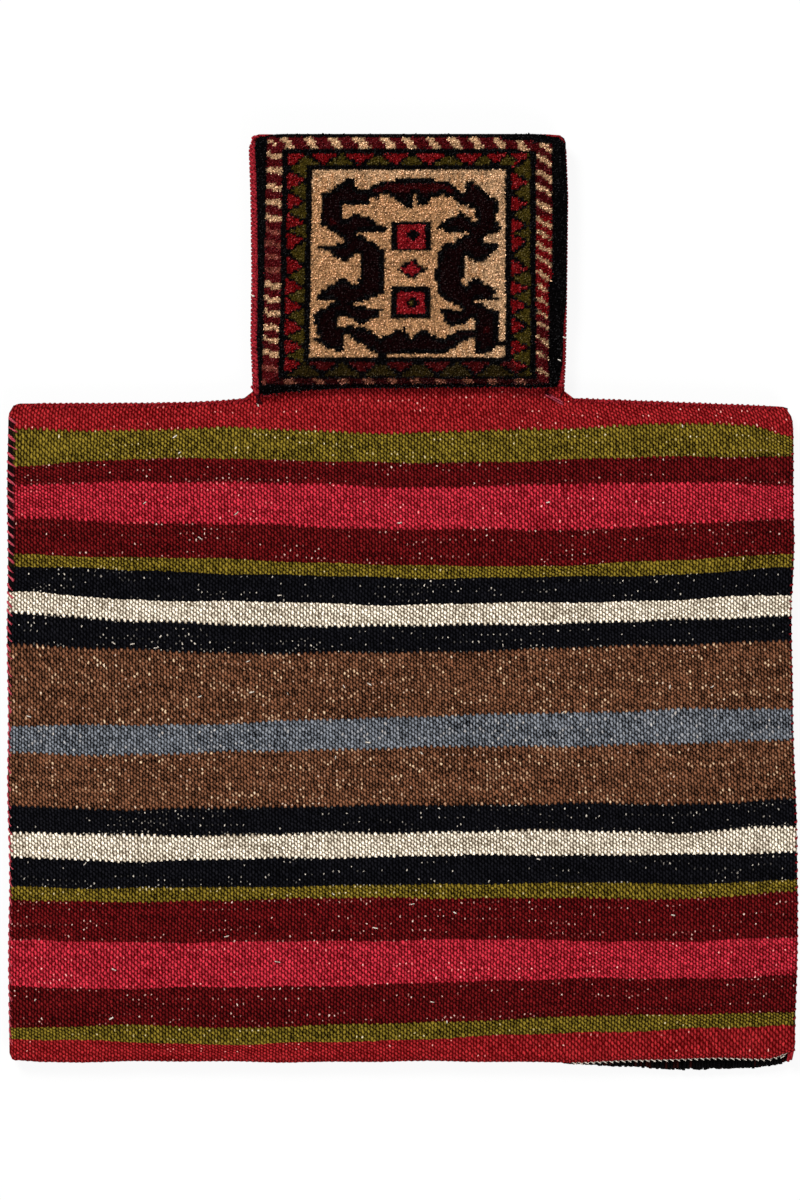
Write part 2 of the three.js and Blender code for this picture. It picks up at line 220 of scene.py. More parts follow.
def wool(name, paint):
    """A matt wool whose colour and bump the given function paints"""
    material = bpy.data.materials.new(name)
    material.use_nodes = True
    surface = material.node_tree.nodes["Principled BSDF"]
    colour, normal = paint(Tone(material.node_tree))
    material.node_tree.links.new(colour.socket, surface.inputs["Base Color"])
    material.node_tree.links.new(normal.socket, surface.inputs["Normal"])
    surface.inputs["Roughness"].default_value = 0.92
    surface.inputs["Specular IOR Level"].default_value = 0.03
    return material


def new_piece(name, mesh, material, smooth=True):
    piece = bpy.data.objects.new(name, mesh)
    bpy.context.scene.collection.objects.link(piece)
    mesh.materials.append(material)
    mesh.polygons.foreach_set("use_smooth", [smooth] * len(mesh.polygons))
    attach(piece, "root")
    return piece


def mesh_from(bm, name):
    mesh = bpy.data.meshes.new(name)
    bm.to_mesh(mesh)
    bm.free()
    return mesh


def points_of(mesh):
    flat = np.empty(len(mesh.vertices) * 3, np.float32)
    mesh.vertices.foreach_get("co", flat)
    return flat.reshape(-1, 3).astype(float)


def move_points(mesh, places):
    mesh.vertices.foreach_set("co", (places * MM).astype(np.float32).ravel())
    mesh.update()


def keep_values(mesh, name, kind, values):
    made = mesh.attributes.new(name, kind, "POINT")
    field = "color" if kind == "FLOAT_COLOR" else "vector"
    made.data.foreach_set(field, values.astype(np.float32).ravel())


def flat_grid(columns, rows):
    """A bmesh grid with the column and row number of each vertex, rows counted from the mouth down"""
    bm = bmesh.new()
    bmesh.ops.create_grid(bm, x_segments=columns - 1, y_segments=rows - 1, size=0.5)
    mesh = mesh_from(bm, "grid")
    at = points_of(mesh)
    column = np.rint((at[:, 0] + 0.5) * (columns - 1)).astype(int)
    row = np.rint((0.5 - at[:, 1]) * (rows - 1)).astype(int)
    return mesh, column, row


def drop_points(mesh, unwanted):
    bm = bmesh.new()
    bm.from_mesh(mesh)
    bm.verts.ensure_lookup_table()
    bmesh.ops.delete(bm, geom=[bm.verts[k] for k in np.flatnonzero(unwanted)], context="VERTS")
    bm.to_mesh(mesh)
    bm.free()


def join_meshes(name, meshes):
    bm = bmesh.new()
    for mesh in meshes:
        bm.from_mesh(mesh)
        bpy.data.meshes.remove(mesh)
    return mesh_from(bm, name)


# The lie of the two walls

def distance_to(x, y, start, end):
    along = np.subtract(end, start)
    t = np.clip(((x - start[0]) * along[0] + (y - start[1]) * along[1]) / (along @ along), 0, 1)
    return np.hypot(x - start[0] - t * along[0], y - start[1] - t * along[1])


def wall_gap(x, y):
    """Room between the two walls, closed along the sewn and folded edges"""
    shoulder = SHOULDER_Y - SHOULDER_DROP
    edges = [
        ((-BODY_HALF, FOLD_Y), (BODY_HALF, FOLD_Y), BODY_LOFT),
        ((-BODY_HALF, FOLD_Y), (-BODY_HALF, shoulder), BODY_LOFT),
        ((BODY_HALF, FOLD_Y), (BODY_HALF, shoulder), BODY_LOFT),
        ((-BODY_HALF, shoulder), (NECK_LEFT, SHOULDER_Y), BODY_LOFT),
        ((BODY_HALF, shoulder), (NECK_RIGHT, SHOULDER_Y), BODY_LOFT),
        ((NECK_LEFT, SHOULDER_Y), (NECK_LEFT, 2 * MOUTH_Y), NECK_LOFT),
        ((NECK_RIGHT, SHOULDER_Y), (NECK_RIGHT, 2 * MOUTH_Y), NECK_LOFT),
    ]
    parting = [(distance_to(x, y, start, end) - SEAM_BITE) / reach for start, end, reach in edges]
    beside = (y > shoulder) & ((x <= NECK_LEFT) | (x >= NECK_RIGHT))
    open_part = np.where(beside, 0, smoothstep(np.min(parting, axis=0)))
    return SEAM_GAP + (POCKET_GAP - SEAM_GAP) * open_part


def back_height(x, y):
    return INSIDE_FLOOR + wall_gap(x, y) + CLOTH


def left_side(y):
    """The left side draws in a little towards the fold, and at the shoulder's rounded corner"""
    places = (-240, -224, -160, -100, 0, 98, 102, 106)
    reach = (-209.6, -209.9, -209.4, -210.1, -210.5, -210.3, -209.7, -208.4)
    return np.interp(y, places, reach) + 0.25 * np.sin(y / 13)


def right_side(y):
    """The right side bulges below the middle and is rounded at the shoulder"""
    places = (-238, -192, -160, -96, -60, 0, 32, 92, 96, 100, 104)
    reach = (211.4, 212.3, 213, 211.5, 210, 209.5, 210.9, 210.2, 209.9, 209, 207.4)
    return np.interp(y, places, reach) + 0.2 * np.sin(y / 11)


def neck_left(y):
    """Outer edge of the neck on the left, which leans out towards the mouth"""
    return np.interp(y, (114, 140, 174, 217, 242), (-79.6, -80.7, -80.2, -80.7, -81.6))


def neck_right(y):
    """Outer edge of the neck on the right, which bulges near the mouth"""
    return np.interp(y, (114, 129, 150, 174, 217, 242), (87.6, 88.4, 88.8, 89.1, 89.6, 88.6))


def corner_round(x, radius):
    """How much a corner of the body is cut off at each place across it"""
    corner = np.clip(np.maximum(CLOTH_LEFT - x, x - CLOTH_RIGHT) + radius, 0, radius)
    return radius - np.sqrt(radius**2 - corner**2)


def upper_edge(x, neck_top, corner=CORNER):
    """Upper edge of a wall: two sloping shoulders with rounded outer corners, and the neck between"""
    left = np.clip(NECK_LEFT - x, 0, None)
    right = np.clip(x - NECK_RIGHT, 0, None)
    slope = 1.2 * right / (BODY_HALF - NECK_RIGHT) + 0.9 * (1 - np.exp(-left / SHOULDER_CURVE))
    right_fillet = 6.3 * np.clip(1.2 - right / 2.9, 0, 1) * (right > 0)
    left_fillet = 2.4 * np.clip(1 - left / 6.0, 0, 1) ** 2 * (left > 0)
    inside = (x > NECK_LEFT + 0.5) & (x < NECK_RIGHT)
    edge = SHOULDER_Y - SHOULDER_DROP * slope - 0.5 * smoothstep(right / 6)
    edge = edge + (right_fillet + left_fillet) - corner_round(x, corner)
    return np.where(inside, neck_top, edge)


def trimmed(y, edge):
    """Rows of a wall cut off at its upper edge: the last row above the edge comes down to it"""
    first = np.array([np.flatnonzero(y[:, c] >= edge[c] - 1e-6)[-1] for c in range(len(edge))])
    number = np.arange(len(y))[:, None]
    return np.where(number == first, np.minimum(y, edge), y), number < first


# Flat-woven back

PILE_FOOT = SHOULDER_Y + 6.0
UNDER_FOLD = np.arange(1, round((math.pi * FOLD_RADIUS + 6) / WEFT) + 1) * WEFT


def band_lines(x):
    """Lower edge of each band over the columns x: a slow curve with the waves of hand beating"""
    soft = np.hanning(25)
    below = [np.pad(np.interp(x, BAND_PLACES, ends), 12, mode="edge") for ends in BAND_ENDS]
    below = np.array([np.convolve(line, soft / soft.sum(), "valid") for line in below])
    below[0] += 6 * smoothstep((x - 186) / 24)
    k = np.arange(len(BAND_ENDS))[:, None]
    wave = 0.35 * np.sin(x / 19 + 1.9 * k) + 0.3 * np.sin(x / 8.5 + 3.1 * k)
    return (SHOULDER_Y - below + wave) / as_seen(18.5) + 0.9 * WEFT


def weft_rows(x):
    """Place of every weft row at each warp from the neck's foot to the fold, and each band's first row"""
    edges = [np.full_like(x, PILE_FOOT), *band_lines(x), np.full_like(x, FOLD_Y + FOLD_RADIUS)]
    rows, starts = edges[:1], []
    for upper, lower in zip(edges, edges[1:]):
        starts.append(len(rows))
        count = max(2, round(float(np.mean(upper - lower)) / WEFT))
        rows += [upper + (lower - upper) * (k + 1) / count for k in range(count)]
    return np.array(rows), starts


WARPS = np.linspace(CLOTH_LEFT, CLOTH_RIGHT, round((CLOTH_RIGHT - CLOTH_LEFT) / WARP) + 1)
WEFTS, BAND_STARTS = weft_rows(WARPS)


def fold_lift(x):
    """The fold waves a little and lies higher above the lip, most of all near the right corner"""
    wave = 0.3 * np.sin(x / 21 + 1) + 0.2 * np.sin(x / 8.3)
    lift = wave - 1.1 + 1.9 * smoothstep((x - 90) / 90) + 3.2 * smoothstep((x - 194) / 13)
    return lift + smoothstep((-192 - x) / 16)


def kilim_back(material):
    """The back with a vertex at each crossing of warp and weft, round the fold and a little way under it"""
    flat, columns = len(WEFTS), len(WARPS)
    rows = flat + len(UNDER_FOLD)
    mesh, column, row = flat_grid(columns, rows)

    # The flat part follows the pillow of the two walls, the rest turns round the fold and under the front
    y = np.vstack([WEFTS, np.zeros((len(UNDER_FOLD), columns))])
    z = back_height(np.broadcast_to(WARPS, y.shape), y)
    turn = np.clip(UNDER_FOLD / FOLD_RADIUS, 0, math.pi)[:, None]
    past = np.clip(UNDER_FOLD - math.pi * FOLD_RADIUS, 0, None)[:, None]
    y[flat:] = FOLD_Y + FOLD_RADIUS * (1 - np.sin(turn)) + past
    z[flat:] = STACK_MIDDLE + FOLD_RADIUS * np.cos(turn)
    y += (corner_round(WARPS, 3.0) + fold_lift(WARPS)) * np.clip(1 - (y - FOLD_Y) / 14, 0, 1)
    top = upper_edge(WARPS, PILE_FOOT, 0)
    y, beyond = trimmed(y, top)
    y -= corner_round(WARPS, CORNER) * smoothstep((y - top) / 12 + 1)
    share = np.arange(columns) / (columns - 1)
    sway = chance.normal(0, 0.1, y.shape)
    sway[:, [0, -1]] = 0
    x = left_side(y) + (right_side(y) - left_side(y)) * share + sway

    # Beads of weft: every second crossing stands up
    number = np.arange(rows)[:, None]
    lift = np.where((np.arange(columns) + number) % 2 == 0, BEAD, -BEAD)
    lift = lift * chance.uniform(0.5, 1.5, lift.shape)
    lift[:, [0, -1]] = 0
    facing = np.vstack([np.zeros((flat, 1)), turn])
    y = y - lift * np.sin(facing)
    z = z + lift * np.cos(facing)
    z[:, [0, -1]] -= CLOTH - 0.4

    # Warps show at a change of dye and in a few runs; the upper left edge gets painted shade under its
    # stitches
    bare = np.zeros((rows, columns))
    for start in BAND_STARTS[1:]:
        bare[start - 2:start + 2] = 1
    for left, right, level in BARE_RUNS:
        bare[(np.abs(y - level) < WEFT) & (x > left) & (x < right)] = 3.5
    bare[(y > 4) & (y < 98) & (np.arange(columns) < 3)] = -1
    move_points(mesh, np.stack([x[row, column], y[row, column], z[row, column]], 1))
    keep_values(mesh, "weave", "FLOAT_VECTOR", np.stack([column, row, bare[row, column]], 1))
    drop_points(mesh, beyond[row, column])

    # Inner face of the same wall, in a coarser net
    inner, column, row = flat_grid(INNER_COLUMNS, INNER_ROWS)
    x = np.linspace(-BODY_HALF, BODY_HALF, INNER_COLUMNS)[column]
    top = upper_edge(x, PILE_FOOT, 2 * CORNER)
    y = top + (FOLD_Y + CLOTH - top) * row / (INNER_ROWS - 1)
    move_points(inner, np.stack([x, y, INSIDE_FLOOR + wall_gap(x, y)], 1))
    weft = np.interp(-y, -WEFTS[:, columns // 2], np.arange(flat))
    keep_values(inner, "weave", "FLOAT_VECTOR", np.stack([(x + BODY_HALF) / WARP, weft, 0 * x], 1))
    inner.flip_normals()
    return new_piece("kilim_back", join_meshes("kilim_back", [mesh, inner]), material)


def flat_weave():
    """Weft-faced plain weave: beads in standing ribs, each in the dye of its row, with painted shade in
    the pits and a painted highlight on the crests, and a few bare warps
    """
    rows = len(WEFTS) + len(UNDER_FOLD)

    def paint(start):
        weave = start.add("ShaderNodeAttribute", {"attribute_name": "weave"}, {}, 1)
        count = start.add("ShaderNodeSeparateXYZ", {}, {0: weave})
        warp = count + (start.noise(520.0, 2.0) - 0.5) * 0.9
        weft = count.out(1) + (start.noise(470.0, 2.0) - 0.5) * 1.6
        bare = count.out(2)

        # A bead stands on every second crossing, on even warps and rows or on odd ones,
        # and it is longer down to the right
        beside, below, away = [], [], []
        for first in (0.0, 1.0):
            beside.append(warp - ((warp - first) * 0.5).round() * 2.0 - first)
            below.append(weft - ((weft - first) * 0.5).round() * 2.0 - first)
            away.append(beside[-1] * beside[-1] * 2.9 + below[-1] * (below[-1] * 0.65 - beside[-1] * 0.6))
        odd = away[1] < away[0]
        across = beside[0] + odd * (beside[1] - beside[0])
        along = below[0] + odd * (below[1] - below[0])
        rib = (warp - across).round()
        bead_row = (weft - along).round()
        round_bead = (1 - away[0] - odd * (away[1] - away[0])).clamp()

        bead = start.add("ShaderNodeCombineXYZ", {}, {0: rib, 1: bead_row})
        luck = start.add("ShaderNodeTexWhiteNoise", {"noise_dimensions": "2D"}, {"Vector": bead})
        stretch = start.add("ShaderNodeCombineXYZ", {}, {0: rib * 0.03, 1: bead_row * 0.6})
        abrash = start.noise(1.0, 3.0, stretch)
        place = (bead_row * 0.45 + weft * 0.55 + 0.5) * (1 / rows)
        stops = [0.0] + [row / rows for row in BAND_STARTS[1:]]
        dyes = [WEFT_DYES[name] for name in BAND_WOOLS]
        # Pit colours are each dye in painted shade, crest colours the same dye in painted light
        pits = [(at, screen(*dye[0])) for at, dye in zip(stops, dyes)]
        crests = [(at, screen(*dye[1])[:3] + dye[2:]) for at, dye in zip(stops, dyes)]
        pit_shade = start.add("ShaderNodeValToRGB", {"stops": pits}, {"Fac": place})
        crest_light = start.add("ShaderNodeValToRGB", {"stops": crests}, {"Fac": place})
        mottle = crest_light.out(1)
        fibre = start.noise(1500.0, 2.0)
        uneven = (luck - 0.5) * mottle * 0.6 + (abrash - 0.5) * 1.1 + (fibre - 0.5) * (mottle + 0.4)
        # Painted shade: from the crests of the beads down to the pits around them, with random unevenness
        colour = (round_bead * (luck * 0.3 + 1.2) - 0.29 + uneven).clamp().mix(pit_shade, crest_light)

        # A painted highlight brightens the crests of the beads, and drifts of undyed wool run along the
        # rows of the mottled dyes
        drift = start.add("ShaderNodeCombineXYZ", {}, {0: rib * 0.07, 1: bead_row * 0.22})
        cluster = start.noise(1.0, 2.0, drift).between(0.42, 0.66) * (mottle - 0.45).clamp()
        painted_highlight = (round_bead - 0.6).clamp() * (luck * 1.8 + 0.7)
        colour = (painted_highlight * 0.005).mix((painted_highlight + 0.81).tint(colour), screen(*BARE_WARP_AND_HIGHLIGHT))
        pale = (luck - 0.64).clamp() * cluster * painted_highlight * painted_highlight * 34.0
        colour = pale.clamp().mix(colour, screen(*UNDYED))

        # Warps that show through in short runs along a row, mostly where the dye changes
        runs = start.add("ShaderNodeCombineXYZ", {}, {0: rib * 0.035, 1: bead_row * 3.7})
        bared = start.noise(1.0, 1.0, runs) + bare * 0.04 + (luck - 0.5) * 0.2
        bared = bared - crest_light.between(0.01, 0.08) * 0.06
        middle = across * across + along * along * 0.3
        dot = (bared > 0.635) * (1 - middle.between(0.0, 0.06))
        strong = luck * luck
        colour = (dot * (strong * strong * strong * 0.9 + 0.05)).mix(colour, screen(*BARE_WARP_AND_HIGHLIGHT))
        # Painted shade along the upper left edge, where the value is -1
        colour = (bare * -0.95).clamp().mix(colour, screen(*EDGE_SHADE))
        height = round_bead + fibre * 0.5
        return colour, start.bump(height, 0.6, 0.0004)

    return wool("flat_weave", paint)


# Knotted pile

# Pile of the neck's back as the camera sees it: its outer edges, and how far in from each edge
# the black edging, the slanted stripe, a black line, the triangles and a second black line end
PILE_LEFT, PILE_RIGHT, PILE_TOP, PILE_LOW = -76.8, 88.5, 249.9, 112.6
PILE_LEVEL = 21.5
TUFT = 1.05
KNOT_WIDE, KNOT_HIGH = 1.65, 1.45
FRAME_STEPS = {
    "left": (4.5, 12.1, 15.3, 25.8, 29.3),
    "right": (8.3, 15.9, 20.0, 29.8, 33.2),
    "top": (2.5, 7.5, 10.1, 16.9, 20.0),
    "foot": (3.4, 6.2, 8.2, 15.4, 18.2),
}

# Middles of the cream segments of the stripe and of the red triangles along each side,
# and the black left before the red and before the olive of the triangles
STRIPE_MIDDLES = {
    "left": (
        238, 230.5, 221, 213, 204.5, 197.5, 191, 184, 177, 168.5, 161, 154, 146, 139.5, 132.5, 124.5, 116,
    ),
    "right": (244, 237, 228.5, 221, 212, 203, 197, 190, 183, 175, 168, 161, 154, 148, 140, 132, 123, 117),
    "top": (-61.5, -48.5, -35.5, -21.5, -6.5, 4.5, 17, 29, 41, 53, 65),
    "foot": (-58, -42, -29, -16, -4, 9, 21, 36.5, 48.5, 64.5),
}
TRIANGLE_MIDDLES = {
    "left": (237.5, 225, 214, 202.5, 193.5, 179, 168, 158, 146, 136, 126.5),
    "right": (237, 224, 212.5, 200.5, 192.5, 177.5, 167.5, 158, 147, 135.5, 125.5),
    "top": (-58.5, -42.5, -22, -3, 15, 37, 51),
    "foot": (-60, -41, -20, 0, 20, 40, 62),
}
TRIANGLE_GAPS = {"left": (0.12, 0.14), "right": (0.14, 0.16), "top": (0.08, 0.18), "foot": (0.2, 0.1)}

# The hooked figure in millimetres from its middle: each half from the arch down its outer side to the foot,
# and back up its inner side
FIGURE_X, FIGURE_Y = 5.5, 180.1
LEFT_HOOKS = [
    (2, 45.5), (-15, 45), (-17, 43), (-20, 42.5), (-23, 40), (-27, 40), (-29.5, 38.5), (-28.5, 41),
    (-31, 43.5), (-30, 45.5), (-33, 46), (-35.5, 45.5), (-36, 44), (-39, 42.5), (-44, 39),
    (-47.5, 38), (-49, 37), (-48.5, 33), (-49, 26), (-48.5, 21.5), (-43.5, 18.5), (-38, 15),
    (-33.5, 11), (-36, 10.5), (-50, 10), (-50, 9), (-46.5, 8), (-42, 5), (-35, 0.5), (-33, 2.5),
    (-30.5, 4), (-29, 6), (-27.5, 5), (-27, -3), (-28, -11), (-30, -11), (-33, -8.5), (-35, -6.5),
    (-40, -10), (-44, -11.5), (-47.5, -14), (-48, -16), (-50.5, -17), (-49.5, -18.5), (-43, -18.5),
    (-38.5, -19.5), (-41.5, -21), (-45, -22.5), (-51, -27), (-50.5, -34), (-48.5, -38.5),
    (-51, -40.5), (-45, -44.5), (-39, -46), (-35, -47.5), (-35, -37.5), (-32.5, -37.5),
    (-31, -39.5), (-24, -44), (-19, -47.5), (-15.5, -49), (-10, -48.5), (1.5, -48),
    (1.5, -40), (-1, -39), (-2.5, -34.5), (-8, -35), (-10, -37), (-15, -39), (-16, -40),
    (-18.5, -37.5), (-24, -34.5), (-31, -33), (-38, -33.5), (-39, -29), (-38, -27), (-34, -28),
    (-28, -31.5), (-25.5, -32), (-22, -30), (-17.5, -28.5), (-17, -25.5), (-14, -24.5),
    (-16, -23.5), (-23, -23), (-30, -22.5), (-31, -21), (-27, -20.5), (-23, -18.5), (-18, -17.5),
    (-14.5, -15.5), (-14, -4), (-14.5, 3), (-14, 8), (-16.5, 8.5), (-19.5, 11.5), (-24, 13.5),
    (-29.5, 16.7), (-27, 17.5), (-17, 17), (-11.5, 18.8), (-15.5, 20.5), (-19.5, 22.5),
    (-22.5, 25.5), (-27, 26.5), (-30, 28), (-33.5, 24.5), (-36.5, 23.5), (-36.3, 28), (-37, 31),
    (-36, 32.3), (-23, 32), (-22, 35), (-20.5, 36.5), (-18, 35), (-16.5, 37), (-13, 37.7),
    (-10.5, 36), (-6, 33.5), (-3.5, 30.5), (0.5, 30.5), (0.5, 38), (2, 38.3),
]
RIGHT_HOOKS = [
    (2, 45.5), (18, 45), (22, 43), (25.5, 40), (26.5, 38.7), (29, 38.7), (29.5, 40.5), (29, 43),
    (29.5, 45), (33, 44.7), (35.5, 42), (39.5, 39.3), (42.5, 36.5), (46.8, 34.7), (47, 30.5),
    (45.5, 24), (48.5, 18.5), (46, 17), (43.5, 16.5), (38.5, 13.5), (38.5, 12), (41.5, 10.7),
    (46, 11), (47, 10), (46.5, 8), (43, 5.5), (39.5, 3), (36, 0.5), (33, 2.5), (29.5, 5),
    (28.5, 3.5), (28.3, -5), (28, -10.5), (29, -12), (31, -12), (30.5, -10.3), (34.5, -7.3),
    (38, -9), (42, -11), (46.5, -14.5), (43, -16.5), (47, -18.5), (43, -19.5), (35, -19),
    (34, -19.8), (39, -21.5), (42.5, -24), (47, -26), (46.5, -31), (46.5, -40.5), (51, -41.5),
    (51, -44), (47.5, -43.5), (42.5, -46.3), (40.5, -48), (34.8, -48.3), (34.5, -41), (34, -39.5),
    (32, -39.8), (28, -41), (24.5, -44), (20.5, -46.5), (18.5, -46.3), (19, -48), (10, -47.8),
    (1.5, -48),
    (1.5, -40), (2, -37.5), (5, -35), (8, -35), (11.5, -38), (15, -39), (16.5, -40.5), (18, -39),
    (22.5, -38.5), (25, -35.5), (27, -34.8), (34, -34.8), (34.5, -30), (33, -28), (31.5, -29.8),
    (28.5, -31.5), (25.5, -31.5), (24, -34), (22, -33.5), (18.5, -30.5), (17, -29), (17.5, -27),
    (15, -24.5), (17, -23.5), (20.5, -24), (27, -25), (28, -24), (26, -23), (24.5, -21.3),
    (22, -21), (18.5, -19), (17, -17), (14.5, -15.5), (14.3, -12), (13, -5.5), (15, 4), (14.5, 6.5),
    (16.5, 8.7), (17.5, 10.5), (24, 11), (25, 13.5), (27.5, 15.2), (31.5, 16.7), (26, 17),
    (19.5, 17), (16, 19), (14, 20), (16, 21.8), (19.5, 24.2), (23, 26), (26.5, 28.5), (28, 28),
    (29.5, 26), (33, 24.3), (32, 22.5), (35.5, 23), (34.5, 25), (35, 28), (34, 30.3), (27, 32),
    (23.5, 34.7), (18.5, 36.8), (15.5, 39), (16, 37.5), (15, 35.8), (11, 36), (10.5, 34.5),
    (8.5, 34), (8.5, 31.5), (6, 32.3), (3.5, 32.5), (3.3, 38), (2, 38.3),
]
PILE_DYES = {
    "cream": (196, 148, 103),
    "pale": (208, 166, 124),
    "black": (7, 5, 6),
    "red": (122, 12, 16),
    "olive": (70, 58, 15),
    "dark_red": (84, 12, 16),
    "maroon": (20, 1, 2),
    "arch": (54, 4, 6),
    "faint": (126, 62, 50),
    "rose": (142, 20, 27),
    # The low_ dyes are darker copies for the border along the neck's foot: painted shade
    "low_red": (72, 9, 10),
    "low_olive": (46, 35, 9),
    "low_faint": (124, 72, 54),
    "low_dark": (46, 6, 7),
}


def within(x, y, corners):
    """Which points lie inside a closed outline"""
    inside = np.zeros(x.shape, bool)
    for (x0, y0), (x1, y1) in zip(corners, corners[1:] + corners[:1]):
        if y0 != y1:
            crossed = ((y0 > y) != (y1 > y)) & (x < (x1 - x0) * (y - y0) / (y1 - y0) + x0)
            inside ^= crossed
    return inside


def hooked_figure(u, v):
    return within(u, v, LEFT_HOOKS) | within(u, v, RIGHT_HOOKS)


def zigzag(along, middles):
    """From 1 at each middle to 0 halfway to the next one"""
    order = np.sort(middles)
    order = np.concatenate([[2 * order[0] - order[1]], order, [2 * order[-1] - order[-2]]])
    number = np.interp(along, order, np.arange(len(order)))
    return np.abs((number + 0.5) % 1 - 0.5) * -2 + 1


def neck_design(x, y):
    """Dye of the pile at each place as the camera sees it, the same over a whole knot"""
    x = x - 0.021 * (y - FIGURE_Y) * np.clip((PILE_RIGHT - x) / (PILE_RIGHT - PILE_LEFT), 0, 1) ** 2
    x = (np.floor(x / KNOT_WIDE) + 0.5) * KNOT_WIDE
    y = (np.floor(y / KNOT_HIGH) + 0.5) * KNOT_HIGH
    reach = {"left": x - PILE_LEFT, "right": PILE_RIGHT - x, "top": PILE_TOP - y, "foot": y - PILE_LOW}
    reach["right"] = reach["right"] + 0.022 * (y - FIGURE_Y) * np.clip((15.7 - reach["right"]) / 8, 0, 1)
    reach["top"] = reach["top"] - 1.8 * smoothstep((x - 50) / 25) * np.clip((13 - reach["top"]) / 4, 0, 1)
    sides = list(FRAME_STEPS)
    steps = np.array([np.interp(reach[side], (0, *FRAME_STEPS[side]), range(6)) for side in sides])
    step, nearest = steps.min(0), np.array(sides)[steps.argmin(0)]
    names = np.full(x.shape, "cream", dtype="<U9")

    u, v = x - FIGURE_X, y - FIGURE_Y

    # Knots of the field get paler towards its right side and its top
    paler = np.maximum((u - 30) / 10, (v - 44) / 5)
    names[np.sin(12.9 * u + 78.2 * v) < paler] = "pale"

    # The hooked figure in black with a dark heart, and the framed squares and the lozenge between the hooks
    ring = [(math.cos(turn), math.sin(turn)) for turn in np.arange(8) * math.pi / 4]
    names[np.any([hooked_figure(u + 0.2 * right, v + 0.2 * up) for right, up in ring], axis=0)] = "black"
    heart = np.all([hooked_figure(u + 2.3 * right, v + 2.3 * up) for right, up in ring], axis=0)
    names[heart] = "maroon"
    names[heart & (v > 39) & (np.abs(u) < 22)] = "arch"
    for right, up in ((-42, 22.5), (41, -35), (33, 41.5)):
        names[np.hypot(u - right, v - up) < 1.4] = "arch"
    for middle, high, dot in ((15.3, 8.0, "black"), (-20.6, 8.6, "olive")):
        names[(np.abs(u - 0.6) < 11.1) & (np.abs(v - middle) < high)] = "black"
        names[(np.abs(u - 0.7) < 7.8) & (np.abs(v - middle) < 6.4)] = "rose"
        names[np.abs(u - 1.2) / 4.4 + np.abs(v - middle) / 3.4 < 1] = "black"
        names[np.hypot(u - 1.0, v - middle) < 1.1] = dot
    names[np.abs(u - 0.5) / 8.5 + np.abs(v + 2.6) / 5.6 < 1] = "black"
    names[np.abs(u - 0.3) / 5.6 + np.abs(v + 2.7) / 3.6 < 1] = "rose"

    # Frame: black lines, triangles in red and olive, and the slanted stripe in cream and dark red
    names[step < 5] = "black"
    inward = step - 1.5
    slanted = {
        "left": y + 0.2 * (x + 68),
        "right": y + 0.62 * (x - 75),
        "top": x - 3.6 * inward,
        "foot": x + 3 * inward,
    }
    for side in sides:
        here = nearest == side
        along = x if side in ("top", "foot") else y
        depth = 4 - step if side in ("right", "foot") else step - 3
        peak = zigzag(along, TRIANGLE_MIDDLES[side])
        border = here & (step >= 3) & (step < 4)
        # Along the foot the border takes the low_ dyes, darker copies as painted shade
        names[border & (depth < peak - TRIANGLE_GAPS[side][0])] = "low_red" if side == "foot" else "red"
        names[border & (depth > peak + TRIANGLE_GAPS[side][1])] = "low_olive" if side == "foot" else "olive"
        stripe = here & (step >= 1) & (step < 2)
        share = 0.37 - 0.12 * (side == "right") * np.clip((FIGURE_Y + 20 - y) / 60, 0, 1)
        cream = stripe & (zigzag(slanted[side], STRIPE_MIDDLES[side]) > 1 - share)
        names[stripe] = "low_dark" if side == "foot" else "dark_red"
        names[stripe & (side == "right") & (y > 152) & (y < 206)] = "red"
        names[cream] = "low_faint" if side == "foot" else "pale"
        names[cream & (side == "left") & ((np.abs(y - 187) < 14) | (y < 129))] = "faint"
    return np.array([screen(*PILE_DYES[name])[:3] for name in names])


def tuft_piece(name, base, tip, wide, narrow, turned, dyes, material):
    """Cut ends of knotted yarn: one tuft repeated, then set from its base to its tip, turned and dyed"""
    bm = bmesh.new()
    raised = Matrix.Translation((0, 0, 0.5))
    bmesh.ops.create_cone(
        bm, cap_ends=True, segments=3, radius1=0.5, radius2=0.34, depth=1.0, matrix=raised,
    )
    one = mesh_from(bm, "tuft")
    shape = points_of(one)
    holder = bpy.data.objects.new("tuft", one)
    bpy.context.scene.collection.objects.link(holder)
    repeat = holder.modifiers.new("repeat", "ARRAY")
    repeat.count = len(base)
    repeat.use_relative_offset = False
    repeat.use_constant_offset = True
    repeat.constant_offset_displace = (2, 0, 0)
    mesh = bpy.data.meshes.new_from_object(holder.evaluated_get(bpy.context.evaluated_depsgraph_get()))
    bpy.data.objects.remove(holder)
    bpy.data.meshes.remove(one)

    length = np.linalg.norm(tip - base, axis=1, keepdims=True)
    axis = (tip - base) / length
    side = np.stack([np.cos(turned), np.sin(turned), 0 * turned], 1)
    side -= axis * (side * axis).sum(1, keepdims=True)
    side /= np.linalg.norm(side, axis=1, keepdims=True)
    other = np.cross(axis, side)
    places = (
        base[:, None]
        + side[:, None] * (shape[:, 0] * wide[:, None])[..., None]
        + other[:, None] * (shape[:, 1] * narrow[:, None])[..., None]
        + axis[:, None] * (shape[:, 2] * length)[..., None]
    )
    move_points(mesh, places.reshape(-1, 3))
    # The height along each tuft, kept beside its dye, sets the painted shade towards its foot
    height = np.broadcast_to(shape[:, 2], (len(base), len(shape)))
    colour = np.broadcast_to(dyes[:, None], (*height.shape, 3))
    keep_values(mesh, "dye", "FLOAT_COLOR", np.concatenate([colour, height[..., None]], 2))
    mesh.name = name
    return new_piece(name, mesh, material)


def cut_pile():
    """Cut wool pile: each tuft in its own dye, with painted shade darkening it towards its foot"""
    def paint(start):
        dye = start.add("ShaderNodeAttribute", {"attribute_name": "dye"}, {})
        height = dye.out(3)
        fibre = start.noise(1300.0, 2.0)
        # Painted shade: darker towards the foot of each tuft; the fibre noise is the wool's grain
        light = (height * 0.8 + 0.2) * (fibre * 3.2 - 0.5)
        return light.tint(dye), start.bump(fibre, 0.5, 0.0003)

    return wool("cut_pile", paint)


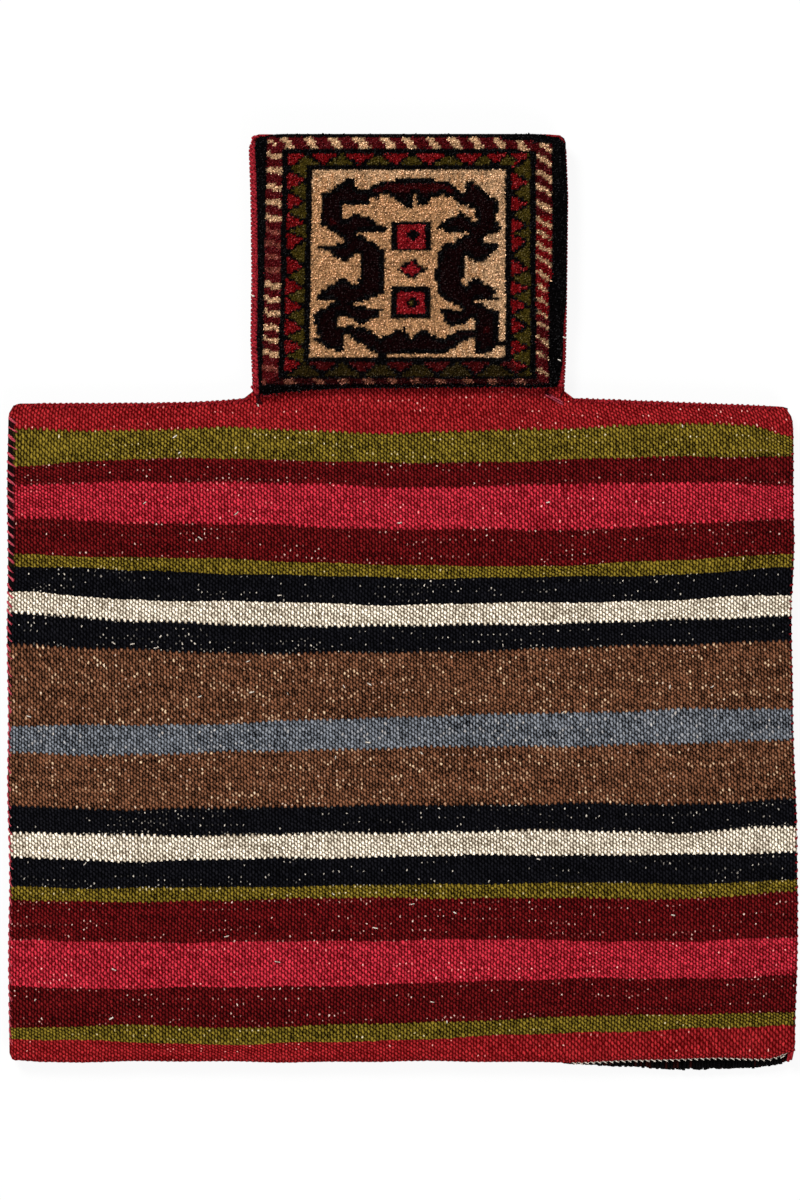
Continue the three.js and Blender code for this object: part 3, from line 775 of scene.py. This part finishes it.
def neck_lie(x, y):
    """Where a point of the pile lies on the neck, the ground under it and how much of its height
    the pile has there. The neck leans, its foot drops at the left and draws in at the right,
    and its upper corners are rounded"""
    share = (x - PILE_LEFT) / (PILE_RIGHT - PILE_LEFT)
    from_edge = np.minimum(np.minimum(x - PILE_LEFT, PILE_RIGHT - x), PILE_TOP - y)
    low = np.clip((PILE_LOW + 14 - y) / 14, 0, 1)
    high = np.clip((y - PILE_TOP + 12) / 12, 0, 1)
    turned = np.clip((np.abs(share - 0.5) - 0.47) / 0.03, 0, 1)
    aside = (1 - share) * (neck_left(y) + 80.5) + share * (neck_right(y) - 89.0)
    draw_in = np.interp(y, (PILE_LOW, 126, 150, 160), (2.8, 0.9, 0.6, -0.6))
    x = x + aside - draw_in * smoothstep(4 * share - 3)
    foot_drop = np.interp(x, (-76, -55, -30, 86), (-2.2, -0.3, 1.2, 2.2))
    y = y + low * foot_drop - 4 * high * (1 - np.sqrt(1 - turned**2))
    x, y = x / as_seen(PILE_LEVEL), y / as_seen(PILE_LEVEL)
    ground = back_height(np.clip(x, NECK_LEFT + 1, NECK_RIGHT - 1), np.minimum(y, MOUTH_Y - 1)) - 0.3
    return x, y, ground, 0.6 + 0.4 * smoothstep(from_edge / 5)


def neck_pile(material):
    """Tips of the neck's pile, whose nap lies towards the foot"""
    columns = round((PILE_RIGHT - PILE_LEFT) / TUFT)
    rows = round((PILE_TOP - PILE_LOW) / TUFT)
    column, row = (part.ravel() for part in np.meshgrid(np.arange(columns), np.arange(rows)))
    count = len(column)
    x = PILE_LEFT + (column + 0.5) * TUFT + chance.normal(0, 0.25, count)
    y = PILE_TOP - (row + 0.5) * TUFT + chance.normal(0, 0.25, count)
    x, y, ground, swell = neck_lie(x, y)
    base = np.stack([x, y, ground + 0.5 * PILE * swell], 1)
    rise = PILE * swell * chance.uniform(0.28, 0.5, count)
    tip = base + np.stack([chance.normal(0, 0.35, count), chance.normal(-0.3, 0.3, count), rise], 1)
    seen = tip[:, :2] * as_seen(tip[:, 2:]) + chance.normal(0, 0.3, (count, 2))
    # Each tuft's tone differs at random, and the brightest tufts are paled further as a painted highlight
    tone_and_highlight = chance.uniform(0.3, 1.7, (count, 1))
    dyes = neck_design(*seen.T)
    dyes = dyes * tone_and_highlight + np.clip(tone_and_highlight - 1, 0, None) * (0.5 * dyes.mean(1, keepdims=True) + 0.02)
    wide, narrow = chance.uniform(1.2, 1.7, count), chance.uniform(0.9, 1.3, count)
    turned = chance.uniform(0, math.pi, count)
    return tuft_piece("neck_pile", base, tip, wide, narrow, turned, dyes, material)


def wall_slab(columns, y, edge):
    """A flat wall with a lower and an upper face over the given columns and rows, cut off at its
    upper edge, with the place of each point and whether it is on the upper face"""
    y, beyond = trimmed(y, edge)
    mesh, column, row = flat_grid(len(columns), len(y))
    x = columns[column]
    move_points(mesh, np.stack([x, y[row, column], 0 * x], 1))
    drop_points(mesh, beyond[row, column])
    bm = bmesh.new()
    bm.from_mesh(mesh)
    bpy.data.meshes.remove(mesh)
    grown = bmesh.ops.extrude_face_region(bm, geom=bm.faces[:], use_keep_orig=True)["geom"]
    bmesh.ops.translate(bm, verts=[v for v in grown if isinstance(v, bmesh.types.BMVert)], vec=(0, 0, 1))
    bmesh.ops.recalc_face_normals(bm, faces=bm.faces[:])
    mesh = mesh_from(bm, "wall")
    at = points_of(mesh)
    return mesh, at[:, 0] / MM, at[:, 1] / MM, at[:, 2] > 0.5


def pile_bed(material):
    """Back wall of the neck with the body of its pile, in the dyes of the design"""
    columns = np.linspace(PILE_LEFT, PILE_RIGHT, BED_COLUMNS)
    rows = np.linspace(PILE_TOP, PILE_LOW, BED_ROWS)[:, None] + 0 * columns
    mesh, x, y, upper = wall_slab(columns, rows, np.full(len(columns), PILE_TOP))
    foot = smoothstep((y - PILE_LOW) / 3)
    x, y, ground, swell = neck_lie(x, y)
    under = INSIDE_FLOOR + wall_gap(np.clip(x, NECK_LEFT + 0.1, NECK_RIGHT - 0.1), y)
    over = ground + PILE * swell * foot * 0.76 + chance.uniform(-0.3, 0.3, len(x))
    move_points(mesh, np.stack([x, y, np.where(upper, over, under)], 1))
    dyes = neck_design(x * as_seen(over), y * as_seen(over))
    # The bed takes the painted shade of the tufts' lower parts, its hidden lower face more painted shade
    keep_values(mesh, "dye", "FLOAT_COLOR", np.column_stack([dyes, np.where(upper, 0.45, 0.1)]))
    return new_piece("pile_bed", mesh, material)


def plain_wool(name, pits, crests, scale):
    """Spun wool in two tones, with its grain"""
    def paint(start):
        grain = start.noise(scale, 3.0)
        colour = grain.between(0.3, 0.7).mix(screen(*pits), screen(*crests))
        return colour, start.bump(grain, 0.7, 0.0008)

    return wool(name, paint)


# Sewing

def yarn_section(bm, thickness, place):
    """Round section of a yarn at its place: vertices and edges to spin"""
    ring = bmesh.ops.create_circle(bm, segments=6, radius=thickness / 2, matrix=place)["verts"]
    return ring + list({edge for vert in ring for edge in vert.link_edges})


def spun_yarn(bm, name):
    """The yarns spun so far as one mesh, with their ends closed"""
    bmesh.ops.holes_fill(bm, edges=bm.edges[:])
    bmesh.ops.recalc_face_normals(bm, faces=bm.faces[:])
    return mesh_from(bm, name)


def overcast(node, start, end, hand, pitch, thickness, reach, bite, slant, edge, material):
    """Yarn wound over the stacked edges of both walls; the edge lies on the left of the way from start
    to end. The reach is given at the ends and between, the bite at both ends, and edge tells how far
    the cloth's edge lies from the straight way"""
    start, end = Vector((*start, STACK_MIDDLE)), Vector((*end, STACK_MIDDLE))
    up = Vector((0, 0, 1))
    along = (end - start).normalized()
    outward = up.cross(along)
    length = (end - start).length
    turns, steps, path = round(length / pitch), 14, 10.0
    bm = bmesh.new()
    place = Matrix.Translation((path, 0, 0)) @ Matrix.Rotation(math.pi / 2, 4, "X")
    bmesh.ops.spin(
        bm, geom=yarn_section(bm, thickness, place), cent=(0, 0, 0), axis=(0, 0, 1),
        angle=hand * 2 * math.pi * turns, steps=steps * turns, dvec=(0, 0, length / (steps * turns)),
    )
    mesh = spun_yarn(bm, node)
    at = points_of(mesh)
    angle = np.arctan2(at[:, 1], at[:, 0])
    proud = np.hypot(at[:, 0], at[:, 1]) - path
    uneven = 0.5 * np.sin(at[:, 2] * 0.73) + 0.3 * np.sin(at[:, 2] * 1.9 + 1)
    share = at[:, 2] / length
    outer = np.interp(share, (0, 0.07, 0.93, 1), (reach[0], reach[1], reach[1], reach[0])) - thickness / 2
    inner = np.interp(share, (0, 0.5, 1), (bite[0], bite[0], bite[1]))
    middle, half = (outer - inner) / 2, (outer + inner) / 2
    out = middle + (half + proud) * np.cos(angle) + 0.4 * uneven * (np.cos(angle) - 1)
    rise = (FOLD_RADIUS + thickness * 0.3 + proud) * np.sin(angle)
    run = at[:, 2] + slant * np.cos(angle) + 0.5 * uneven
    places = np.array(start) + np.stack([out, rise, run], 1) @ np.array([outward, up, along])
    places += np.array(outward) * edge(places[:, 0], places[:, 1])[:, None]
    move_points(mesh, places)
    piece = new_piece(node + "_yarn", mesh, material)
    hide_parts(node)
    return piece


def arched_stitch(bm, start, end, rise, thickness):
    """A strand that comes up out of the cloth at one end and goes down into it at the other"""
    start, end, up = Vector(start), Vector(end), Vector((0, 0, 1))
    chord = end - start
    radius = (chord.length**2 / 4 + rise**2) / (2 * rise)
    centre = (start + end) / 2 - up * (radius - rise)
    axis = up.cross(chord).normalized()
    angle = 2 * math.asin(min(1, chord.length / 2 / radius))
    ahead = axis.cross(start - centre)
    place = Matrix.Translation(start) @ ahead.to_track_quat("Z", "Y").to_matrix().to_4x4()
    section = yarn_section(bm, thickness, place)
    bmesh.ops.spin(bm, geom=section, cent=centre, axis=axis, angle=angle, steps=8)


def strands(name, stitches, material):
    """Single stitches and loose threads: each has a start, an end, a rise and a thickness"""
    bm = bmesh.new()
    for start, end, rise, thickness in stitches:
        arched_stitch(bm, start, end, rise, thickness)
    mesh = spun_yarn(bm, name)
    move_points(mesh, points_of(mesh))
    return new_piece(name, mesh, material)


def on_back(x, y):
    """A point on the back's upper face"""
    return (x, y, float(back_height(np.array(x), np.array(y))))


def left_neck_edge(x, y):
    """How far the neck's left edge stands out from the straight way, drawn in at the mouth"""
    return NECK_LEFT - 1.6 - neck_left(y) - 1.8 * smoothstep((y - 242) / 6)


def right_neck_edge(x, y):
    """The same for the right edge"""
    return neck_right(y) - NECK_RIGHT - 0.6 - 2.2 * smoothstep((y - 241) / 6)


# Front wall, with its pile face down

def front_foot(x, y):
    """Underside of the front's pile: uneven, and rounded up towards its edges"""
    in_neck = y > SHOULDER_Y - SHOULDER_DROP
    side = np.where(in_neck, np.minimum(x - NECK_LEFT, NECK_RIGHT - x), BODY_HALF - np.abs(x))
    end = np.where((x > NECK_LEFT + 3) & (x < NECK_RIGHT - 3), MOUTH_Y - y, SHOULDER_Y - 2 - y)
    inside = np.minimum(np.minimum(side, end), y - FOLD_Y)
    return PILE * (1 - smoothstep(inside / 7)) + chance.uniform(0, 0.9, x.shape) * (inside > 3)


def front_wall(material):
    """The front, whose upper face is the floor of the pocket"""
    columns = np.linspace(-BODY_HALF + 0.5, BODY_HALF - 0.5, FRONT_COLUMNS)
    rows = np.linspace(FRONT_TOP, FOLD_Y + FOLD_RADIUS, FRONT_ROWS)[:, None] + 0 * columns
    mesh, x, y, upper = wall_slab(columns, rows, upper_edge(columns, FRONT_TOP))
    move_points(mesh, np.stack([x, y, np.where(upper, INSIDE_FLOOR, front_foot(x, y))], 1))
    return new_piece("front_wall", mesh, material)


def dark_dyes(count):
    """Black wool of the front's border, with a reddish tuft here and there"""
    black, rust = (np.array(screen(*dye)[:3]) for dye in ((11, 10, 11), (46, 16, 14)))
    return np.where(chance.random((count, 1)) < 0.12, rust, black) * chance.uniform(0.7, 1.4, (count, 1))


def edge_pile(material):
    """Outermost tufts of the front all round, that lean out from under the seams"""
    shoulder = SHOULDER_Y - SHOULDER_DROP
    runs = [
        ((-BODY_HALF, FOLD_Y + 5), (-BODY_HALF, shoulder - 5)),
        ((-BODY_HALF + 4, shoulder - 2), (NECK_LEFT - 2, SHOULDER_Y - 3)),
        ((NECK_LEFT, SHOULDER_Y + 2), (NECK_LEFT, MOUTH_Y - 2)),
        ((NECK_LEFT + 2, MOUTH_Y - 1.2), (NECK_RIGHT - 3, MOUTH_Y - 1.2)),
        ((NECK_RIGHT - 1.5, MOUTH_Y - 3), (NECK_RIGHT - 1.5, SHOULDER_Y + 4)),
        ((NECK_RIGHT + 2, SHOULDER_Y - 3), (BODY_HALF - 4, shoulder - 4)),
        ((BODY_HALF - 1.5, shoulder - 6), (BODY_HALF - 1.5, FOLD_Y + 9)),
        ((BODY_HALF - 4, FOLD_Y + 1), (-BODY_HALF + 4, FOLD_Y + 1)),
    ]
    base, tip, turned = [], [], []
    for start, end in runs:
        start, end = np.array(start), np.array(end)
        length = np.linalg.norm(end - start)
        way = (end - start) / length
        out = np.array([-way[1], way[0]])
        for tier in range(EDGE_TIERS):
            steps = (np.arange(int(length / EDGE_STEP)) + 0.35 * tier + 0.2) * EDGE_STEP
            place = start + steps[:, None] * way - out * 1.8
            count = len(steps)
            lean = way * chance.normal(0, 0.5, (count, 1)) + out * chance.uniform(1.2, 2.2, (count, 1))
            base.append(np.column_stack([place, np.full(count, 6.2)]))
            tip.append(np.column_stack([place + lean, chance.uniform(0.3, 1.2, count) + 1.3 * tier]))
            turned.append(np.full(count, math.atan2(way[1], way[0])))
    base, tip, turned = np.vstack(base), np.vstack(tip), np.concatenate(turned)
    count = len(base)
    wide, narrow = np.full(count, 2.2), np.full(count, 1.7)
    return tuft_piece("edge_pile", base, tip, wide, narrow, turned, dark_dyes(count), material)


def lip_pile(material):
    """Pile of the front that shows below the fold at the right"""
    steps = np.arange(LIP_START, LIP_END, LIP_STEP)
    along = np.concatenate([steps + 0.4 * tier for tier in range(LIP_TIERS)])
    tier = np.repeat(np.arange(LIP_TIERS), len(steps))
    count = len(along)
    depth = np.interp(along, LIP_PLACES, LIP_DEPTHS) * chance.uniform(0.8, 1.05, count)
    x = along + chance.normal(0, 0.2, count)
    z = 1.2 + 1.4 * tier
    base = np.column_stack([x, np.full(count, FOLD_Y + 4.0), z + 0.6])
    tip = np.column_stack([x + chance.normal(-0.3, 0.3, count), FOLD_Y - depth, z])
    wide, narrow = np.full(count, 2.9), np.full(count, 1.6)
    return tuft_piece("lip_pile", base, tip, wide, narrow, np.zeros(count), dark_dyes(count), material)


# Camera, light and ground

def studio():
    """A camera straight above, two soft lamps and a white ground"""
    scene = bpy.context.scene
    scene.view_settings.view_transform = "Standard"
    sensor = 36.0
    camera = bpy.data.objects.new("camera", bpy.data.cameras.new("camera"))
    camera.data.sensor_fit = "VERTICAL"
    camera.data.sensor_height = sensor
    camera.data.lens = sensor * (EYE - TRUE_LEVEL) / FRAME_HIGH
    camera.data.clip_end = 20.0
    camera.location = (-0.27 * MM, 0.5 * MM, EYE * MM)
    scene.collection.objects.link(camera)
    scene.camera = camera

    def lamp(name, place, size, watts):
        light = bpy.data.objects.new(name, bpy.data.lights.new(name, "AREA"))
        light.data.size = size
        light.data.energy = watts
        light.location = place
        light.rotation_euler = (-Vector(place)).to_track_quat("-Z", "Y").to_euler()
        scene.collection.objects.link(light)

    lamp("key", (-1.5, 2.2, 3.0), 1.2, 135.0)
    lamp("fill", (1.2, -1.9, 2.2), 1.2, 34.0)

    world = bpy.data.worlds.new("studio")
    world.use_nodes = True
    sky = world.node_tree.nodes["Background"]
    sky.inputs["Color"].default_value = (1, 1, 1, 1)
    sky.inputs["Strength"].default_value = 0.38
    scene.world = world

    ground = bpy.data.materials.new("white_ground")
    ground.use_nodes = True
    tree = ground.node_tree
    surface = tree.nodes["Principled BSDF"]
    surface.inputs["Base Color"].default_value = (0.9, 0.9, 0.9, 1)
    surface.inputs["Roughness"].default_value = 0.9
    start = Tone(tree)
    rays = start.add("ShaderNodeLightPath", {}, {})
    seen = (rays + rays.out("Is Glossy Ray") + rays.out("Is Transmission Ray")).clamp()
    glow = start.add("ShaderNodeEmission", {}, {"Color": (1, 1, 1, 1), "Strength": 1.0})
    lit = Tone(tree, surface.outputs[0])
    both = start.add("ShaderNodeMixShader", {}, {0: seen * 0.9, 1: lit, 2: glow})
    tree.links.new(both.socket, tree.nodes["Material Output"].inputs["Surface"])
    bm = bmesh.new()
    bmesh.ops.create_grid(bm, x_segments=1, y_segments=1, size=4.0)
    floor = bpy.data.objects.new("ground", mesh_from(bm, "ground"))
    floor.data.materials.append(ground)
    floor.location.z = -0.0003
    scene.collection.objects.link(floor)


studio()

# The folded cloth: striped back, neck with its pile, and the front below
kilim = kilim_back(flat_weave())
pile_wool = cut_pile()
dark_wool = plain_wool("dark_pile", (5, 4, 5), (30, 24, 24), 420.0)
cloth = [
    pile_bed(pile_wool), neck_pile(pile_wool),
    front_wall(dark_wool), edge_pile(pile_wool), lip_pile(pile_wool),
]
for piece in [kilim, *cloth]:
    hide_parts("bag_cloth")

# Overcast edges
side_yarn = plain_wool("side_yarn", (136, 24, 40), (216, 96, 108), 1300.0)
right_yarn = plain_wool("right_yarn", (84, 4, 8), (168, 40, 48), 1300.0)
edging_yarn = plain_wool("edging_yarn", (66, 4, 10), (178, 44, 54), 900.0)
seam_foot, seam_crown = FOLD_Y + 6, SHOULDER_Y - SHOULDER_DROP - 8
overcast(
    "left_side_seam", (CLOTH_LEFT, seam_foot), (CLOTH_LEFT, seam_crown), hand=-1, pitch=4.7,
    thickness=1.4, reach=(0.2, 0.6), bite=(1.6, 5.4), slant=0.9,
    edge=lambda x, y: CLOTH_LEFT - left_side(y), material=side_yarn,
)
overcast(
    "right_side_seam", (CLOTH_RIGHT, seam_crown), (CLOTH_RIGHT, seam_foot), hand=1, pitch=4.4,
    thickness=0.9, reach=(0.2, 0.5), bite=(1.4, 1.2), slant=0.7,
    edge=lambda x, y: right_side(y) - CLOTH_RIGHT, material=right_yarn,
)
seam_end = strands("right_seam_end", [
    ((210.6, -236, 9.6), (209, -245, 8.4), 1.0, 2.2),
    ((208.6, -240.6, 9), (207.8, -245.8, 7.6), 0.8, 1.8),
], right_yarn)
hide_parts("right_side_seam")
shoulders = {
    "left_shoulder_seam": (-BODY_HALF + 8, NECK_LEFT - 2),
    "right_shoulder_seam": (NECK_RIGHT + 4, BODY_HALF - 8),
}
for node, (left_end, right_end) in shoulders.items():
    overcast(
        node, (left_end, SHOULDER_Y), (right_end, SHOULDER_Y), hand=-1, pitch=2.9, thickness=1.6,
        reach=(0.1, 0.7), bite=(2.4, 2.4), slant=0.6, edge=lambda x, y: upper_edge(x, 0) - SHOULDER_Y,
        material=right_yarn,
    )
overcast(
    "left_neck_edging", (NECK_LEFT, SHOULDER_Y + 4), (NECK_LEFT, MOUTH_Y - 3), hand=-1, pitch=2.3,
    thickness=3.0, reach=(1.6, 1.6), bite=(3.0, 3.0), slant=1.0, edge=left_neck_edge,
    material=edging_yarn,
)
overcast(
    "right_neck_edging", (NECK_RIGHT, MOUTH_Y - 4), (NECK_RIGHT, SHOULDER_Y + 5), hand=1, pitch=1.9,
    thickness=2.3, reach=(1.1, 1.1), bite=(3.0, 3.0), slant=0.6, edge=right_neck_edge,
    material=right_yarn,
)

# Ends of the edgings: along the neck's upper corners, and round the left foot of the pile
left_ends = strands("left_edging_ends", [
    ((-79.2, 247.2, 14.6), (-75, 248.7, 15.8), 0.6, 1.9),
    ((-75.8, 248.7, 15.6), (-68, 248.7, 18), 0.5, 1.3),
    (on_back(-79.4, 114.6), on_back(-76.4, 110.8), 1.2, 2.0),
    (on_back(-77.6, 111.6), on_back(-72.6, 109.7), 1.0, 1.6),
    (on_back(-74.2, 109.9), on_back(-68.6, 109.3), 0.7, 1.2),
], edging_yarn)
right_ends = strands("right_edging_ends", [
    ((87.4, 245.2, 14.4), (84.8, 248.2, 15.6), 0.5, 1.5),
    ((85.4, 248.2, 15.5), (78.6, 248.7, 17.2), 0.5, 1.2),
    ((80, 248.7, 16.8), (70.6, 248.8, 20.4), 0.4, 0.9),
], right_yarn)
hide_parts("left_neck_edging")
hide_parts("right_neck_edging")

# Tacks where the neck meets the shoulders; the left one's dark yarn stands for the tack and also for the
# shadow under the edging's curve, as painted shade
dark_tack_and_shade = plain_wool("dark_tack_and_shade_yarn", (14, 2, 4), (66, 16, 20), 1300.0)
left_tack_and_shade = strands("left_tack_and_shade_yarn", [
    (on_back(-77.2, 110), on_back(-74.2, 105.4), 0.8, 1.5),
    (on_back(-76, 109.6), on_back(-76.4, 105), 0.7, 1.2),
], dark_tack_and_shade)
right_tack = strands("right_tack_yarn", [
    (on_back(77.4, 110.4), on_back(82.6, 107.4), 0.7, 0.9),
    (on_back(81.4, 108), on_back(87, 105), 0.7, 0.9),
    (on_back(78.6, 110.8), on_back(86.6, 106.4), 0.8, 0.8),
    (on_back(80.4, 109.2), on_back(84, 106.6), 0.5, 0.6),
], plain_wool("pink_tack_yarn", (120, 24, 40), (188, 84, 98), 1300.0))
right_crossing = strands("right_tack_crossing", [
    (on_back(87.2, 112.6), on_back(85.4, 108.6), 0.5, 0.9),
    (on_back(77.4, 111.4), on_back(81.4, 109.2), 0.4, 0.8),
    (on_back(77.2, 111.2), on_back(79.6, 113.2), 0.4, 0.7),
], dark_tack_and_shade)
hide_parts("left_neck_tack")
for piece in (right_tack, right_crossing):
    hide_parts("right_neck_tack")

# Bare warps along the lip, and loose ends and slubs of undyed wool on the back
undyed = plain_wool("undyed_wool", (150, 136, 120), (250, 240, 226), 1300.0)
loose = []
for x in np.arange(92, 202, 2 * WARP):
    fold = FOLD_Y + fold_lift(x)
    dip = (x + WARP, fold - 0.6, 9.0)
    loose.append(((x, fold + 0.3, 10.4), dip, 0.15, 0.6))
    loose.append((dip, (x + 2 * WARP, fold + 0.3, 10.4), 0.15, 0.5))
loose += [
    (on_back(-76.6, 105.6), on_back(-76, 104.2), 0.4, 0.9),
    ((-79.8, 163.4, 15.2), (-78.2, 162.8, 15.4), 0.5, 1.0),
    ((87, 141, 16.4), (88, 140.4, 16), 0.4, 0.8),
    ((84.2, 128.8, 18.4), (85.3, 128.2, 18.2), 0.4, 0.7),
    ((203.2, -243.9, 9.6), (205.4, -242.3, 10.2), 0.3, 0.6),
    ((203.6, -244.8, 9.2), (206, -243.5, 9.8), 0.3, 0.6),
    ((205.2, -243.3, 9.8), (207.6, -241.7, 10.4), 0.3, 0.5),
]
spots = [
    (-64.5, 3), (-153, -22.5), (-143, -23), (-128, -19),
    (-107, -51), (-79.4, -48.7), (-120.6, 87.7), (-118, 79),
]
slub_count = 34
spots += list(zip(chance.uniform(-200, 200, slub_count), chance.uniform(-225, 95, slub_count)))
for x, y in spots:
    way, size = chance.uniform(0, math.pi), chance.uniform(0.7, 1.7)
    across, up = size * math.cos(way), size * math.sin(way) * 0.6
    ends = on_back(x - across, y - up), on_back(x + across, y + up)
    loose.append((*ends, 0.35, chance.uniform(0.5, 0.85)))
slubs = strands("slubs", loose, undyed)
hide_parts("bag_cloth")
